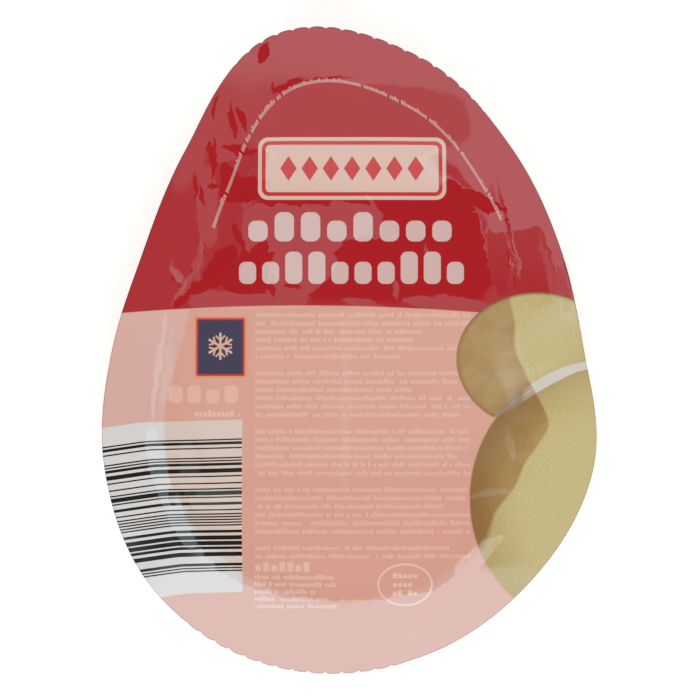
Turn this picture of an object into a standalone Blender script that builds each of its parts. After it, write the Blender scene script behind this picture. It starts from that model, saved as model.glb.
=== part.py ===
"""Sealed pack of smoked scamorza: a printed film welded over a pear-shaped cheese in its drawn film.

Blender 4.5, metres, +Z up. The pack lies on its belly with the printed face up and its narrow end
towards +Y. The origin is under the middle of its outline, on the surface that it lies on.
"""

import math

import bmesh
import bpy

# Cut edge: how far it lies from the middle of the pack, at equal turns from +X towards +Y
EDGE_REACHES = (
    0.0560, 0.0560, 0.0620, 0.0720, 0.0770, 0.0615, 0.0540,
    0.0560, 0.0640, 0.0730, 0.0765, 0.0745, 0.0695, 0.0645,
)
SCALLOPS = 108
SCALLOP_DEPTH = 0.0004
# Scalloped stretches of the cut edge, at the narrow end and at the wide end: middle and half width along X
NARROW_SCALLOPS = (0.0026, 0.0300)
WIDE_SCALLOPS = (-0.0128, 0.0270)
# Shares of that half width between which the scallops die away
SCALLOP_FADE = (0.75, 1.1)

# Welded rim, between the cut edge and the hollow that the cheese fills
RIM_WIDTH = 0.0143
RIM_HEIGHT = 0.0430
RIM_DROOP = 0.0010
# Slow waves of the rim: how many go round it, where they start, and their share of the droop
RIM_WAVES = ((3, 0.7, 0.45), (7, 2.0, 0.25))
HOLLOW_SHIFT = 0.0020
BODY_MIDDLE = (0.0005, -0.0150)

# Printed film over the cheese
FILM_THICKNESS = 0.0006
SHOULDER_OUTSIDE = 0.0015
SHOULDER_WIDTH = 0.0100
PEAK_RISE = 0.0034
PEAK_Y = -0.0380
CROSS_CROWN = 0.0005
CROSS_REACH = 0.0300
# Places along Y, and how steeply the face falls there towards the narrow end
FACE_SLOPES = (
    (-0.0700, -0.020), (-0.0500, -0.022), (-0.0380, 0.000), (-0.0300, 0.050), (-0.0260, 0.062),
    (-0.0100, 0.046), (0.0090, 0.034), (0.0165, -0.038), (0.0340, -0.045), (0.0365, -0.045),
    (0.0400, 0.030), (0.0440, 0.050), (0.0580, 0.068), (0.0800, 0.068),
)

# Cheese in its drawn film
FILM_GAP = 0.00035
CHEESE_TOP = RIM_HEIGHT - FILM_THICKNESS - FILM_GAP
BODY_DEPTH = CHEESE_TOP
HEAD_DEPTH = 0.0305
BODY_END_Y = 0.0115
HEAD_START_Y = 0.0430
NECK_Y = 0.0360
NECK_HALF_LENGTH = 0.0095
NECK_GROOVE = 0.0050
NECK_PINCH = 0.08
BELLY_ROUNDNESS = 2.25
FLAT_SHARE = 0.33

# Mesh fineness
EDGE_POINTS = 4 * SCALLOPS
RING_POINTS = SCALLOPS
RIM_SHARES = (0.0, 0.17, 0.50, 0.80)
TOP_RINGS = (1.0, 0.95, 0.89, 0.82, 0.70, 0.50, 0.25)
BELLY_RINGS = 13

# Colours and roughness
PRINT_COLOUR = (0.62, 0.27, 0.22)
PRINT_ROUGHNESS = 0.25
CHEESE_COLOUR = (0.58, 0.36, 0.12)
CHEESE_ROUGHNESS = 0.4


def smooth(low, high, value):
    """0 up to low, 1 from high on, and an even S curve between them."""
    share = min(1.0, max(0.0, (value - low) / (high - low)))
    return share * share * (3 - 2 * share)


def reach(angle):
    """Distance from the pack's middle to its cut edge, on a smooth closed curve through EDGE_REACHES."""
    count = len(EDGE_REACHES)
    place = angle / math.tau * count
    index = math.floor(place)
    share = place - index
    before, start, end, after = (EDGE_REACHES[(index + k) % count] for k in (-1, 0, 1, 2))
    pull_out = (end - before) / 2
    pull_in = (after - start) / 2
    rise = end - start
    cubic = pull_out + pull_in - 2 * rise
    square = 3 * rise - 2 * pull_out - pull_in
    return start + share * (pull_out + share * (square + share * cubic))


def outline_at(angle, inset=0.0):
    """A point of the outline, or of the curve that lies inset from it."""
    radius = reach(angle) - inset
    return radius * math.cos(angle), radius * math.sin(angle)


def even_angles(count):
    """Angles whose outline points lie at equal steps along the cut edge."""
    fine = 40 * count
    angles = [math.tau * k / fine for k in range(fine + 1)]
    points = [outline_at(a) for a in angles]
    lengths = [0.0]
    for here, there in zip(points, points[1:]):
        lengths.append(lengths[-1] + math.dist(here, there))
    found = []
    position = 0
    for k in range(count):
        wanted = lengths[-1] * k / count
        while lengths[position + 1] <= wanted:
            position += 1
        share = (wanted - lengths[position]) / (lengths[position + 1] - lengths[position])
        found.append(angles[position] + share * (angles[position + 1] - angles[position]))
    return found


def scallop_strength(x, y):
    """1 in the middle of a scalloped stretch, 0 on the smooth sides."""
    middle, half = NARROW_SCALLOPS if y > 0 else WIDE_SCALLOPS
    return 1 - smooth(*SCALLOP_FADE, abs(x - middle) / half)


def edge_point(angle, turn):
    """A point of the cut edge. turn runs from 0 to 1 along the whole edge."""
    x, y = outline_at(angle)
    wave = SCALLOP_DEPTH * scallop_strength(x, y) * math.cos(math.tau * SCALLOPS * turn)
    return outline_at(angle, -wave)


def hollow_point(angle):
    """A point of the line where the welded rim ends and the cheese begins."""
    x, y = outline_at(angle, RIM_WIDTH)
    return x + HOLLOW_SHIFT, y


def inner_point(angle, share):
    """A point on a ring inside the hollow's line: share 1 is that line, and 0 the middle of the body."""
    x, y = hollow_point(angle)
    return BODY_MIDDLE[0] + share * (x - BODY_MIDDLE[0]), BODY_MIDDLE[1] + share * (y - BODY_MIDDLE[1])


def face_fall(y):
    """How far the face has fallen at y, counted from the first place of FACE_SLOPES."""
    fall = 0.0
    for (low, start), (high, end) in zip(FACE_SLOPES, FACE_SLOPES[1:]):
        length = min(max(y, low), high) - low
        fall += length * (start + (end - start) * length / (high - low) / 2)
    return fall


def face_rise(x, y, inward):
    """Height of the printed face over the rim, at a point that lies inward of the hollow's line."""
    crown = PEAK_RISE + face_fall(PEAK_Y) - face_fall(y)
    across = CROSS_CROWN * ((x - BODY_MIDDLE[0]) / CROSS_REACH) ** 2
    return (crown - across) * smooth(-SHOULDER_OUTSIDE, SHOULDER_WIDTH, inward)


def rim_sag(angle, out):
    """Drop of the rim, with its slow waves. out is 0 at the cheese and 1 at the cut edge."""
    waves = sum(share * math.sin(count * angle + start) for count, start, share in RIM_WAVES)
    return RIM_DROOP * out * (out + waves)


def rim_ring(share, angles, count):
    """Points of the rim's top: share 0 is the cut edge, and 1 would be the line of the hollow."""
    step = len(angles) // count
    ring = []
    for k in range(0, len(angles), step):
        edge = edge_point(angles[k], k / len(angles)) if share == 0 else outline_at(angles[k])
        inside = hollow_point(angles[k])
        x = edge[0] + share * (inside[0] - edge[0])
        y = edge[1] + share * (inside[1] - edge[1])
        ring.append((x, y, RIM_HEIGHT - rim_sag(angles[k], 1 - share)))
    return ring


def face_ring(share, angles, drop=0.0):
    """Points of the printed face over the cheese, or of a surface that lies drop under it."""
    ring = []
    for angle in angles:
        x, y = inner_point(angle, share)
        inward = (1 - share) * math.dist(hollow_point(angle), BODY_MIDDLE)
        ring.append((x, y, RIM_HEIGHT + face_rise(x, y, inward) - drop))
    return ring


def belly_ring(turn, angles):
    """Points of the cheese's underside: turn 0 is at the rim, and a quarter turn round the flat spot."""
    share = FLAT_SHARE + (1 - FLAT_SHARE) * max(0.0, math.cos(turn)) ** (2 / BELLY_ROUNDNESS)
    sink = math.sin(turn) ** (2 / BELLY_ROUNDNESS)
    ring = []
    for angle in angles:
        x, y = inner_point(angle, share)
        neck = math.exp(-(((y - NECK_Y) / NECK_HALF_LENGTH) ** 2))
        x -= NECK_PINCH * neck * sink * x
        head = smooth(BODY_END_Y, HEAD_START_Y, y)
        depth = BODY_DEPTH + head * (HEAD_DEPTH - BODY_DEPTH - NECK_GROOVE * neck)
        ring.append((x, y, CHEESE_TOP - sink * depth))
    return ring


def add_strip(mesh, outer, inner):
    """Faces between two rings of vertices, where outer has as many as inner or a whole multiple."""
    times = len(outer) // len(inner)
    for k in range(len(inner)):
        fan = [outer[(k * times + j) % len(outer)] for j in range(times + 1)]
        here, there = inner[k], inner[(k + 1) % len(inner)]
        middle = (times + 1) // 2
        if times == 1:
            mesh.faces.new((fan[0], fan[1], there, here))
            continue
        for j in range(times):
            mesh.faces.new((fan[j], fan[j + 1], here if j < middle else there))
        mesh.faces.new((here, fan[middle], there))


def add_fan(mesh, loop, point):
    """Faces from a ring of vertices to one point in its middle."""
    tip = mesh.verts.new(point)
    for k in range(len(loop)):
        mesh.faces.new((loop[k], loop[(k + 1) % len(loop)], tip))


def add_rings(mesh, rings):
    """Strips between the rings in turn. Returns the first and the last ring of vertices."""
    loops = [[mesh.verts.new(point) for point in ring] for ring in rings]
    for outer, inner in zip(loops, loops[1:]):
        add_strip(mesh, outer, inner)
    return loops[0], loops[-1]


def finish_object(name, mesh, material):
    """One named object from a bmesh, shaded smooth."""
    bmesh.ops.recalc_face_normals(mesh, faces=mesh.faces[:])
    data = bpy.data.meshes.new(name)
    mesh.to_mesh(data)
    mesh.free()
    data.shade_smooth()
    data.materials.append(material)
    piece = bpy.data.objects.new(name, data)
    bpy.context.scene.collection.objects.link(piece)
    return piece


def plain_material(name, colour, roughness):
    material = bpy.data.materials.new(name)
    material.use_nodes = True
    shader = material.node_tree.nodes["Principled BSDF"]
    shader.inputs["Base Color"].default_value = (*colour, 1.0)
    shader.inputs["Roughness"].default_value = roughness
    shader.inputs["Metallic"].default_value = 0.0
    return material


def make_printed_film():
    """The printed film with its welded rim, scalloped at both ends, as one thin wall."""
    fine = even_angles(EDGE_POINTS)
    coarse = fine[:: EDGE_POINTS // RING_POINTS]
    counts = (EDGE_POINTS, EDGE_POINTS // 2, RING_POINTS, RING_POINTS)
    rings = [rim_ring(share, fine, count) for share, count in zip(RIM_SHARES, counts)]
    rings += [face_ring(share, coarse) for share in TOP_RINGS]
    mesh = bmesh.new()
    _, last = add_rings(mesh, rings)
    add_fan(mesh, last, (*BODY_MIDDLE, RIM_HEIGHT + face_rise(*BODY_MIDDLE, SHOULDER_WIDTH)))
    material = plain_material("printed film", PRINT_COLOUR, PRINT_ROUGHNESS)
    film = finish_object("printed_film", mesh, material)
    wall = film.modifiers.new("wall", "SOLIDIFY")
    wall.thickness = FILM_THICKNESS
    wall.offset = -1
    wall.use_even_offset = True
    return film


def make_wrapped_cheese():
    """The cheese in its clear drawn film, out to the outer face of that film, as one solid."""
    angles = even_angles(EDGE_POINTS)[:: EDGE_POINTS // RING_POINTS]
    drop = FILM_THICKNESS + FILM_GAP
    top = [face_ring(share, angles, drop) for share in reversed(TOP_RINGS[1:])]
    turns = [math.pi / 2 * k / BELLY_RINGS for k in range(BELLY_RINGS + 1)]
    belly = [belly_ring(turn, angles) for turn in turns]
    mesh = bmesh.new()
    first, last = add_rings(mesh, top + belly)
    add_fan(mesh, first[::-1], (*BODY_MIDDLE, RIM_HEIGHT + face_rise(*BODY_MIDDLE, SHOULDER_WIDTH) - drop))
    add_fan(mesh, last, (*BODY_MIDDLE, 0.0))
    material = plain_material("smoked cheese", CHEESE_COLOUR, CHEESE_ROUGHNESS)
    return finish_object("wrapped_cheese", mesh, material)


def centre_pack(pieces):
    """Moves the pieces together, so that the origin lies under the middle of the cut edge's box."""
    edge = [edge_point(angle, k / EDGE_POINTS) for k, angle in enumerate(even_angles(EDGE_POINTS))]
    middle = [(min(values) + max(values)) / 2 for values in zip(*edge)]
    for piece in pieces:
        piece.location = (-middle[0], -middle[1], 0.0)


def main():
    for thing in list(bpy.data.objects):
        bpy.data.objects.remove(thing)
    centre_pack([make_printed_film(), make_wrapped_cheese()])


main()
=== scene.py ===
"""Sealed pack of smoked scamorza, with its finishes: a glossy printed film, welded over a
pear-shaped golden smoked cheese in clear drawn film.

Blender 4.5, metres, +Z up. The pack lies on its belly with the printed face up and its narrow end
towards +Y, as in the model that is loaded first. Places in the print are in millimetres.
"""

import math
from functools import reduce

import bpy
import numpy as np
from bpy.props import FloatProperty, FloatVectorProperty, IntProperty, PointerProperty
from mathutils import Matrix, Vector, noise


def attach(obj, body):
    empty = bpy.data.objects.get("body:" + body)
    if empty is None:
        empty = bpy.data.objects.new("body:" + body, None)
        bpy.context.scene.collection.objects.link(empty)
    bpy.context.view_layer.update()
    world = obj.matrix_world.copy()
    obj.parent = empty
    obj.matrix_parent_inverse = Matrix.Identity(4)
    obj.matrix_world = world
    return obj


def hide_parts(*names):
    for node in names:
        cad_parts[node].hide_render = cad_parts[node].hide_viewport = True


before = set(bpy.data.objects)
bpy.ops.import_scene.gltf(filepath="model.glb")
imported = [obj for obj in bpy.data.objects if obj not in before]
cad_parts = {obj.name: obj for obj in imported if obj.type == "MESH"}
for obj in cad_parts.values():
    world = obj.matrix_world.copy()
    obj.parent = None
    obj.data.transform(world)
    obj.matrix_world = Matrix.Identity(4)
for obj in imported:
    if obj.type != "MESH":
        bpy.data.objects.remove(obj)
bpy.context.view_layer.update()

bl_info = {
    "name": "Sealed Scamorza Pack",
    "version": (1, 0, 0),
    "blender": (4, 5, 0),
    "location": "3D View > Sidebar > Cheese Pack",
    "description": "Models and finishes a sealed film pack of smoked scamorza",
    "category": "Add Mesh",
}

# Cut edge, welded rim and cheese: outline, rim and body as in the model's source, with finer scallops
EDGE_REACHES = (
    0.0560, 0.0560, 0.0620, 0.0720, 0.0770, 0.0615, 0.0540,
    0.0560, 0.0640, 0.0730, 0.0765, 0.0745, 0.0695, 0.0645,
)
SCALLOPS = 108
SCALLOP_DEPTH = 0.00022
SCALLOP_OPENING = 0.07
SCALLOP_BLUNTNESS = 0.6
NARROW_SCALLOPS = (0.0026, 0.0300)
WIDE_SCALLOPS = (-0.0128, 0.0270)
SCALLOP_FADE = (0.75, 1.1)
SCALLOP_REACH = 0.17
RIM_WIDTH = 0.0143
RIM_HEIGHT = 0.0430
HOLLOW_SHIFT = 0.0020
BODY_MIDDLE = (0.0005, -0.0150)
SHOULDER_OUTSIDE = 0.0015
SHOULDER_WIDTH = 0.0100
BODY_DEPTH = 0.04205
HEAD_DEPTH = 0.0305
BODY_END_Y = 0.0115
HEAD_START_Y = 0.0430
NECK_Y = 0.0360
NECK_HALF_LENGTH = 0.0095
NECK_GROOVE = 0.0050
NECK_PINCH = 0.08
BELLY_ROUNDNESS = 2.25
FLAT_SHARE = 0.33

# Printed face along the pack: places along Y, and how steeply it falls there towards the narrow end
PEAK_RISE = 0.0034
PEAK_Y = -0.0380
FACE_SLOPES = (
    (-0.0700, -0.020), (-0.0500, -0.022), (-0.0380, 0.000), (-0.0300, 0.050), (-0.0260, 0.062),
    (-0.0100, 0.046), (0.0090, 0.034), (0.0165, -0.038), (0.0340, -0.045), (0.0365, -0.045),
    (0.0400, 0.030), (0.0440, 0.050), (0.0580, 0.068), (0.0800, 0.068),
)
CROSS_CROWN = 0.0005
CROSS_REACH = 0.0300

# Height of the cut edge over the rim's flat, at the same equal turns as EDGE_REACHES
EDGE_LIFTS = (
    -0.0013, -0.0015, -0.0016, -0.0017, -0.0017, -0.0015, -0.0014,
    -0.0014, -0.0012, -0.0010, -0.0010, -0.0010, -0.0005, -0.0011,
)
EDGE_LIFT_CURVE = 1.15
EDGE_RIPPLE = 0.00008
EDGE_RIPPLES = 13

# Folds of the film: places and sizes in metres, heights in millimetres, and the layers of noise
# that they follow
FOLD_SIZE = (0.0085, 0.0190)
FOLD_LEAN = (0.94, 0.34)
FOLD_HEIGHT = 0.10
FOLD_LAYERS = (2.3, 5.1, 8.1)
PLAIN_FOLDS = 0.25
LEFT_SIDE = (0.012, -0.022)
NECK_START = (0.004, 0.016)
NECK_END = (0.062, 0.044)
BROAD_SIZE = 0.014
BROAD_HEIGHT = 0.07
FINE_SIZE = 0.0055
FINE_HEIGHT = 0.012
RIM_CALM = (1.7, 1.2)
RIM_RELIEF = 0.35
GATHER_SIZE = 0.0060
GATHER_HEIGHT = 0.07
GATHER_LENGTH = 2.2
GATHER_START = (0.76, 0.92)
GATHER_END = (1.30, 1.02)

# Creases: places along each, half width and height, all in millimetres
CREASES = (
    (((-43.5, 20.7), (-40.4, 17.6), (-37.1, 14.1)), 0.9, 0.16),
    (((-34.0, 27.1), (-37.6, 19.3), (-40.9, 11.7)), 0.9, 0.18),
    (((34.3, 41.0), (37.2, 27.5), (40.7, 16.2)), 0.8, 0.18),
    (((-43.5, 7.0), (-45.6, -6.0), (-46.6, -16.7)), 1.2, 0.16),
)
CREASE_TAPER = 0.6

# Angles in degrees past which an edge is shaded sharp
FILM_SHARP = 50
CHEESE_SHARP = 60

# Cheese: shares of the way from its top to its bottom where its side begins and its flat spot begins,
# its rough half width, and the rough reach of the face inside the rim
SIDE_START = 0.42
SPOT_START = 0.88
CHEESE_HALF_WIDTH = 0.045
BODY_REACH = 0.05

# Clear film: radii of its flat disc where the rim begins and the flat spot begins, its pleats and its
# finish. The printed film bends light as much
CLEAR_RIM_RADIUS = 0.84
CLEAR_SPOT_RADIUS = 0.14
WELD_GAP = 0.00006
PLEATS = 96
PLEAT_SHIFTS = ((1.5, 5), (0.8, 13))
PLEAT_SWELLS = 7
PLEAT_START = 0.12
PLEAT_FADE = (0.25, 0.75)
FILM_IOR = 1.5
CLEAR_TONE = (0.985, 0.98, 0.965, 1.0)
HAZE_CLOUDS = (0.12, 3.0, 0.6)
HAZE = (0.35, 0.75, 0.01, 0.06)

# Unevenness of the films: sizes in millimetres, depths in metres. Then the share of white over the
# print that is seen from behind
PRINT_SKIN_SIZE = 9.0
PRINT_SKIN_DEPTH = 0.00003
CLEAR_SKIN_SIZE = 5.0
CLEAR_SKIN_DEPTH = 0.00025
FINER_SKIN = 4.5
FINER_SKIN_HEIGHT = 0.10
SMEAR_SKIN = 1.7
SMEAR_STRENGTH = 0.10
PALER_BEHIND = 0.55

# Smoked rind: clouds of its patches, where they begin and end and how strong they are
BROAD_CLOUDS = (0.05, 3.0, 0.55)
BROAD_PATCHES = (0.35, 0.65)
BROWN_CLOUDS = (0.18, 4.0, 0.6, 0.6)
BROWN_PATCHES = (0.48, 0.80, 0.0, 0.55)
BROWN_UNDERSIDE = (0.0, 16.0, 0.45, 0.0)
PALE_CLOUDS = (1.4, 3.0, 0.6)
PALE_PATCHES = (0.55, 0.75, 0.0, 0.25)
PALE_HEIGHT = 0.25
RIND_ROUGHNESS = (0.3, 0.7, 0.38, 0.52)
RIND_BUMP = (0.6, 0.0004)

# Camera, and where the main softbox and the second one begin and end along Y
LENS = 150.0
SENSOR = 36.0
VIEW_WIDTH = 0.1655
PHOTO_MIDDLE = (0.0002, 0.0)
SOFTBOX_HEIGHT = 1.20
MAIN_NEAR_Y = 0.045
MAIN_FAR_Y = 1.10
MAIN_WIDTH = 2.00
LOW_NEAR_Y = -0.21
LOW_FAR_Y = -1.30
LOW_WIDTH = 1.10

# Brightness of the main softbox: dim at its near side, soft further back, bright at its far side and
# in a patch at its right. Each pair gives the places in metres between which the next level begins
DIM_LEVEL = 0.22
SOFT_GAIN = 0.33
BRIGHT_GAIN = 0.45
LEFTWARD = 0.5
SOFT_START = (0.05, 0.18)
FAR_START = (0.36, 0.44)
RIGHT_START = (0.22, 0.30)
RIGHT_NEAR_Y = (0.135, 0.145)
SIDE_END = (0.50, 0.60)
SIDE_PLACE = (0.5, 0.6)
SIDE_TILT = 60
SIDE_SPREAD = 55
FLOOR_SIZE = 12.0
FLOOR_GLOW = 0.30
FLOOR_ROUGHNESS = 0.9
CAMERA_CLIP = 0.01

# Places along Y, on the softboxes' level, that a facet can show to the camera
SHOWN_PLACES = {"dark": -0.080, "dim": 0.062, "soft": 0.250, "bright": 0.520}

# Flat facets of the taut film: what each shows, its middle, half length and half width in
# millimetres, turn in degrees, form (1 a lozenge, 2 an oval, more a box) and softness of its edge.
# A facet lies over those before it
FACETS = (
    # Narrow end
    ("soft", (1.0, 54.0), 27.0, 8.8, 0, 2.6, 0.80),
    ("soft", (-35.0, 49.0), 13.0, 2.8, 63, 2.0, 0.90),
    ("dark", (-20.1, 70.4), 3.0, 1.1, 68, 1.6, 0.15),
    ("dark", (-14.4, 62.4), 3.9, 0.9, 25, 1.7, 0.20),
    ("dark", (-6.0, 64.0), 6.0, 0.4, 4, 1.5, 0.20),
    ("dark", (-17.8, 61.6), 1.5, 0.4, 92, 1.3, 0.12),
    # Left shoulder
    ("soft", (-27.5, 52.0), 9.0, 3.6, 66, 2.4, 0.40),
    ("soft", (-33.6, 33.5), 9.5, 2.6, 92, 2.4, 0.30),
    ("soft", (-35.8, 20.7), 4.8, 0.8, 86, 1.5, 0.20),
    ("dark", (-27.7, 54.0), 4.4, 0.8, 97, 1.4, 0.12),
    ("dark", (-25.2, 54.5), 3.2, 0.8, 112, 1.5, 0.12),
    ("dark", (-25.6, 47.4), 4.5, 1.2, -7, 1.5, 0.12),
    ("dark", (-31.8, 57.5), 3.4, 0.5, 84, 1.3, 0.25),
    ("dark", (-32.2, 45.5), 5.6, 0.8, 88, 1.3, 0.12),
    ("dark", (-33.3, 47.8), 2.2, 0.5, 100, 1.2, 0.12),
    ("dark", (-34.9, 36.2), 3.0, 0.6, 106, 1.3, 0.12),
    ("dark", (-36.4, 38.2), 3.4, 0.4, 92, 1.2, 0.20),
    ("dark", (-32.3, 38.4), 1.4, 0.7, 5, 1.4, 0.10),
    ("dark", (-24.4, 37.9), 6.3, 2.9, 1, 5.0, 0.12),
    ("dark", (-28.2, 41.2), 3.6, 2.0, -50, 1.8, 0.12),
    ("dark", (-30.6, 19.4), 5.6, 2.9, 52, 2.6, 0.15),
    ("dark", (-33.6, 15.8), 3.4, 1.5, 40, 1.8, 0.15),
    ("dark", (-38.0, 13.3), 4.8, 1.3, 50, 1.6, 0.15),
    ("bright", (-40.3, 17.2), 3.4, 1.1, -42, 1.5, 0.12),
    ("soft", (-38.1, 16.2), 7.0, 0.8, 55, 1.5, 0.12),
    ("bright", (-39.3, 14.6), 5.6, 0.18, 55, 1.3, 0.10),
    ("bright", (-42.4, 19.6), 2.4, 0.15, 76, 1.2, 0.10),
    ("bright", (-35.2, 23.8), 5.2, 0.15, 84, 1.2, 0.12),
    ("bright", (-45.3, -4.6), 13.5, 0.85, 82, 1.6, 0.20),
    ("soft", (-43.0, -6.5), 10.5, 1.2, 84, 1.6, 0.60),
    # Name area
    ("soft", (-24.0, 12.0), 14.0, 2.2, 1, 3.5, 0.20),
    ("soft", (3.4, 11.0), 4.8, 1.2, -8, 2.0, 0.20),
    ("soft", (23.0, 11.0), 10.0, 1.7, -3, 2.4, 0.20),
    ("soft", (-13.6, 28.4), 11.6, 5.9, 0, 7.0, 0.12),
    ("soft", (0.8, 30.2), 6.8, 4.4, -12, 4.0, 0.12),
    ("soft", (-11.0, 19.8), 8.2, 6.0, 30, 2.2, 0.20),
    ("soft", (5.3, 34.4), 3.0, 0.5, -63, 1.3, 0.10),
    ("dark", (2.5, 21.5), 5.6, 3.4, 48, 2.2, 0.15),
    ("dark", (-26.0, 26.6), 3.6, 1.1, 112, 1.6, 0.12),
    ("dark", (-21.5, 22.5), 3.5, 2.3, 70, 2.0, 0.15),
    ("dark", (-24.3, 14.9), 4.9, 1.4, 0, 6.0, 0.12),
    ("dark", (-17.9, 15.6), 3.2, 0.5, 90, 1.4, 0.10),
    ("dark", (-13.4, 14.9), 1.9, 0.7, 4, 2.0, 0.12),
    ("soft", (18.4, 23.6), 1.8, 0.45, 90, 1.3, 0.12),
    ("soft", (10.6, 14.6), 2.8, 0.6, 101, 1.5, 0.12),
    ("dark", (-11.5, 34.6), 0.9, 0.6, 90, 1.2, 0.10),
    ("dark", (8.4, 13.0), 1.3, 0.6, 10, 1.6, 0.12),
    # Right shoulder
    ("dark", (27.8, 28.5), 12.5, 3.6, -66, 2.6, 0.30),
    ("dark", (31.6, 34.8), 5.4, 1.9, -28, 2.6, 0.12),
    ("dim", (35.3, 20.8), 7.6, 2.4, 97, 3.5, 0.20),
    ("dim", (43.6, 19.6), 9.6, 4.6, 103, 4.0, 0.15),
    ("bright", (35.1, 30.2), 2.7, 1.7, 97, 5.0, 0.12),
    ("soft", (30.6, 32.5), 1.6, 0.4, 0, 1.5, 0.12),
    ("soft", (31.9, 26.0), 4.2, 0.4, 99, 1.3, 0.15),
    ("bright", (39.2, 23.0), 6.6, 0.55, 102, 1.5, 0.12),
    ("bright", (38.4, 20.4), 2.2, 0.28, 99, 1.3, 0.10),
    ("soft", (47.0, 19.0), 6.8, 0.7, 102, 1.5, 0.30),
    ("dark", (37.4, 29.8), 13.0, 0.2, 103, 1.3, 0.10),
    ("soft", (50.6, 14.6), 6.0, 1.7, 102, 2.0, 0.90),
    # Along the lower border of the cheese
    ("dark", (-1.0, -49.5), 27.0, 10.0, 0, 2.4, 0.60),
    ("dark", (22.5, -45.0), 15.0, 5.8, 36, 2.2, 1.20),
    ("dark", (-28.5, -46.0), 13.0, 6.0, -38, 2.2, 0.60),
    ("dark", (38.0, -34.0), 14.0, 5.0, 60, 2.2, 2.00),
    # Over the small print, the bars and the picture
    ("bright", (-45.1, -27.6), 9.0, 1.8, 101, 2.6, 0.20),
    ("bright", (-40.0, -41.4), 6.6, 1.8, 120, 2.6, 0.20),
    ("soft", (-31.5, -35.5), 6.4, 2.6, 4, 2.6, 0.20),
    ("soft", (33.4, -33.8), 5.0, 1.0, 6, 1.6, 0.15),
    ("dim", (37.6, -36.4), 7.4, 0.9, 42, 1.6, 0.30),
    ("soft", (38.0, -22.5), 4.0, 0.9, 98, 1.8, 0.30),
    ("dark", (12.0, -33.5), 13.0, 2.4, 4, 2.0, 0.20),
    ("dark", (17.0, -42.0), 9.0, 1.6, 6, 2.0, 0.30),
    ("soft", (-1.0, -15.0), 1.0, 16.0, 0, 1.6, 0.80),
)
SOFTEST_EDGE = 0.9

# How far the facets' outlines wander, in millimetres, and the clouds that they follow
WANDERS = (((0.22, 2.0, 0.6), 3.2), ((0.9, 1.0, 0.5), 0.7))

# Places in the print, in millimetres. A range gives the two places of a soft step, and where it has
# four values, also what it runs from and to
SHARP = 0.08
GRAIN = (2.6, 4.0, 0.7)
DRIFT = (0.09, 2.0, 0.5)
CONTACT_BORDER = (13.4, 14.4)
CONTACT_WAVES = (0.045, 1.0)
CONTACT_WAVE_DEPTH = 5.0
CONTACT_LOW_BEND = (-50.0, -34.0, -2.6, 0.0)
CONTACT_RIGHT = (24.0, 34.0)
CONTACT_BENDS = (
    (6.0, (3.0, 17.0, -3.6, 0.0)), (-5.0, (1.0, 14.0, -2.8, 0.0)), (-32.0, (4.0, 16.0, -5.0, 0.0)),
)
CONTACT_SOFT_X = (2.0, 14.0)
CONTACT_SOFT_Y = (-50.0, -38.0, 1.3, 0.0)
RED_EDGE_Y = 10.5
RED_EDGE_MIDDLE = -11.0
RED_EDGE_BEND = 0.00095
RED_EDGE_SOFTNESS = (-0.12, 0.12)
RING_MIDDLE = (13.2, -55.4, 0.0)
RING_HALF = (6.6, 5.2, 1.0)
RING_LINE = 0.5
RING_EDGE = 0.015
RING_STRENGTH = 0.88

# Small print: left, top, width, rows, row pitch and height, mark width, rows in a block and seed, and
# how strong it is. The last block stands in the ring
PRINT_BLOCKS = (
    ((-22.2, 8.9, 50.8, 30.0, 1.96, 1.15, 0.62, 7.0, 3.0), 0.50),
    ((-22.5, -52.9, 19.5, 5.0, 1.76, 1.15, 0.70, 20.0, 9.0), 0.68),
    ((-22.4, -49.9, 18.0, 1.0, 2.6, 2.3, 1.9, 20.0, 4.0), 0.66),
    ((-37.6, -14.2, 12.6, 1.0, 2.0, 1.5, 1.05, 20.0, 5.0), 0.66),
    ((10.2, -52.5, 6.0, 3.0, 2.1, 1.3, 1.2, 20.0, 21.0), RING_STRENGTH),
)

# Marks of the small print: the share that is drawn, which ones stand lower and by how much of a row's
# height, how ragged the rows end, and the soft edges of a row and of a mark
MARK_SHARE = 0.89
LOWERED_MARKS = (0.62, 0.70)
LOWERED_TO = 0.30
RAGGED_ROWS = (0.0, 0.45, 0.62, 1.0)
ROW_EDGE = (-0.10, 0.10)
MARK_SIDES = (0.03, 0.21)
TALL_SEED = 7.3

# Small print along the arc of the narrow end, between two angles in degrees
ARC_ANGLES = (42.0, 139.0)
ARC_BLOCK = (1.0, 2.0, 1.05, 0.72, 20.0, 31.0)
ARC_TOP = -12.2
ARC_STRENGTH = 0.68

# Rows of rounded marks: left, foot, count, pitch, low height, tall height and seed. The tall ones are
# drawn at random, and half width and corner are shares of the pitch and of the half width
NAME_ROWS = ((-24.6, 25.6, 8.0, 6.2, 4.9, 6.9, 4.0), (-26.7, 15.6, 10.0, 5.45, 5.2, 7.6, 11.0))
PILL_TALL_START = 0.62
PILL_HALF_WIDTH = 0.37
PILL_CORNER = 0.75
WEIGHT_ROW = (-43.2, -12.6, 4.0, 4.4, 3.3, 4.3, 6.0)
WEIGHT_STRENGTH = 0.46

# White panel and its bars, which bend down where the film is pulled over the cheese's side
PANEL_LEFT = -62.0
PANEL_RIGHT = -25.2
PANEL_TOP = -16.4
PANEL_BOTTOM = -57.2
PANEL_CORNER = 0.1
PANEL_EDGE = 0.1
BARS_TOP = -20.8
BARS_RIGHT = -25.25
BARS_LEAN = 0.030
MODULE = 0.33
MODULES = 95
INKED_SHARE = 0.62
PAUSE_PITCH = 4.0
BARS_SEED = 41.0
KINK_START = (-47.0, -21.4)
KINK_SLOPE = 0.275
KINK_PULL = 0.115
KINK_EASE = 1.5

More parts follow.
